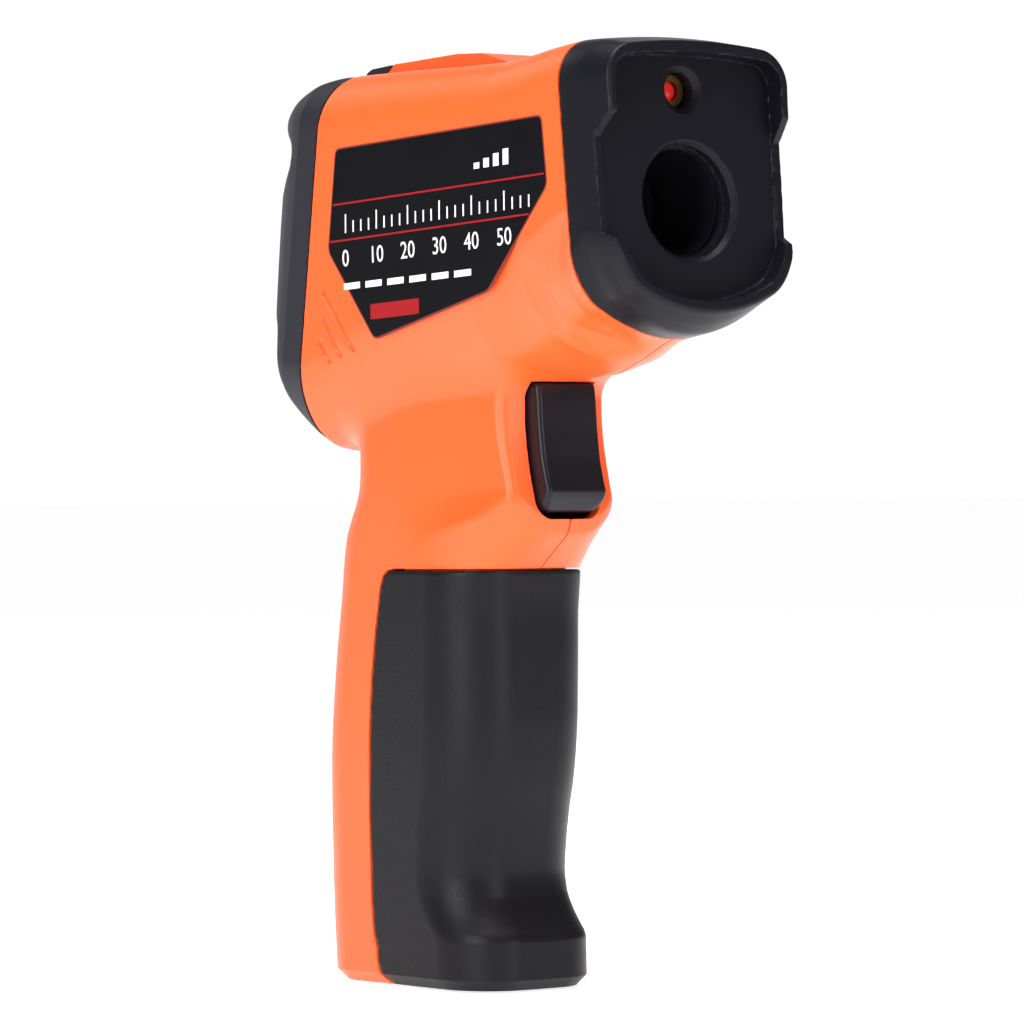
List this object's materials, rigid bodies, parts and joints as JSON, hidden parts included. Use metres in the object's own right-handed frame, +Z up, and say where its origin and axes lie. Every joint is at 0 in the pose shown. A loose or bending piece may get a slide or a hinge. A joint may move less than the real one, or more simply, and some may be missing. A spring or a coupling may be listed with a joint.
{
  "type": "infrared thermometer",
  "caption": "Pistol-shaped infrared thermometer with a lens bore and laser in the nose, a finger trigger, a rear display with keys and a grip that swings open on the cells.",
  "frame": {"origin": "middle of the flat foot under the handle", "axes": "+X the way it is aimed, +Y to its left, +Z up"},
  "size_m": [0.0958, 0.041, 0.1588],
  "materials": {
    "orange_plastic": "fine satin moulded texture",
    "black_plastic": "satin moulded black",
    "dark_grey_plastic": "satin moulded dark grey",
    "grip_plastic": "fine grained soft-touch coating",
    "trigger_plastic": "smooth satin",
    "label_print": "printed film, semi-gloss",
    "window_plastic": "clear moulded window, smoke tinted",
    "lcd_glass": "reflective display glass",
    "light_guide": "white diffuser",
    "board_green": "solder mask",
    "chip_black": "moulded package",
    "key_plastic": "moulded key",
    "steel": "plated steel",
    "nickel": "nickel plate",
    "brass": "turned brass",
    "ir_lens": "dark infrared lens",
    "laser_glass": "small clear lens, lit red",
    "rubber_strip": "silicone strip",
    "cell_wrap": "plain printed sleeve",
    "wire": "insulated lead"
  },
  "bodies": {
    "root": {"right_housing": "orange_plastic", "left_housing": "orange_plastic", "nose_cap": "black_plastic", "lens_tube": "black_plastic", "infrared_lens": "ir_lens", "lens_ring": "black_plastic", "field_stop": "steel", "detector": "nickel", "sensor_board": "board_green", "laser_module": "brass", "laser_lens": "laser_glass", "optics_carrier": "black_plastic", "rear_bezel": "dark_grey_plastic", "display_window": "window_plastic", "lcd_panel": "lcd_glass", "backlight": "light_guide", "contact_strip": "rubber_strip", "main_board": "board_green", "board_chips": "chip_black", "buzzer": "chip_black", "key_domes": "nickel", "trigger_pin": "steel", "trigger_spring": "steel", "switch_board": "board_green", "trigger_switch": "chip_black", "battery_frame": "black_plastic", "right_cell": "cell_wrap", "left_cell": "cell_wrap", "cell_springs": "nickel", "contact_plates": "nickel", "bridge_plate": "nickel", "right_label": "label_print", "left_label": "label_print", "housing_screws": "steel", "board_screws": "steel", "battery_leads": "wire", "laser_leads": "wire", "switch_leads": "wire"},
    "trigger": {"trigger": "trigger_plastic"},
    "switch_plunger": {"switch_plunger": "light_guide"},
    "key_right": {"key_right": "key_plastic"},
    "key_middle": {"key_middle": "key_plastic"},
    "key_left": {"key_left": "key_plastic"},
    "battery_door": {"battery_door": "grip_plastic"}
  },
  "joints": [
    {"name": "trigger_pull", "type": "hinge", "parent": "root", "child": "trigger", "pos_m": [0.022, 0, 0.1065], "axis": [0, 1, 0], "range_deg": [0, 7], "stiffness_Nm_per_rad": 0.3, "springref_deg": -2.86, "deforming": ["trigger_spring"]},
    {"name": "plunger_slide", "type": "slide", "parent": "root", "child": "switch_plunger", "axis": [-1, 0, 0], "range_m": [0, 0.00195]},
    {"name": "key_right_press", "type": "slide", "parent": "root", "child": "key_right", "axis": [0.9913, 0, -0.1317], "range_m": [0, 0.0007], "stiffness_N_per_m": 400, "springref_m": -0.0008},
    {"name": "key_middle_press", "type": "slide", "parent": "root", "child": "key_middle", "axis": [0.9913, 0, -0.1317], "range_m": [0, 0.0007], "stiffness_N_per_m": 400, "springref_m": -0.0008},
    {"name": "key_left_press", "type": "slide", "parent": "root", "child": "key_left", "axis": [0.9913, 0, -0.1317], "range_m": [0, 0.0007], "stiffness_N_per_m": 400, "springref_m": -0.0008},
    {"name": "door_hinge", "type": "hinge", "parent": "root", "child": "battery_door", "pos_m": [0, 0, 0.005], "axis": [0, 1, 0], "range_deg": [0, 65]}
  ],
  "couplings": [
    {"joint": "plunger_slide", "follows": "trigger_pull", "m_per_rad": 0.0155}
  ]
}
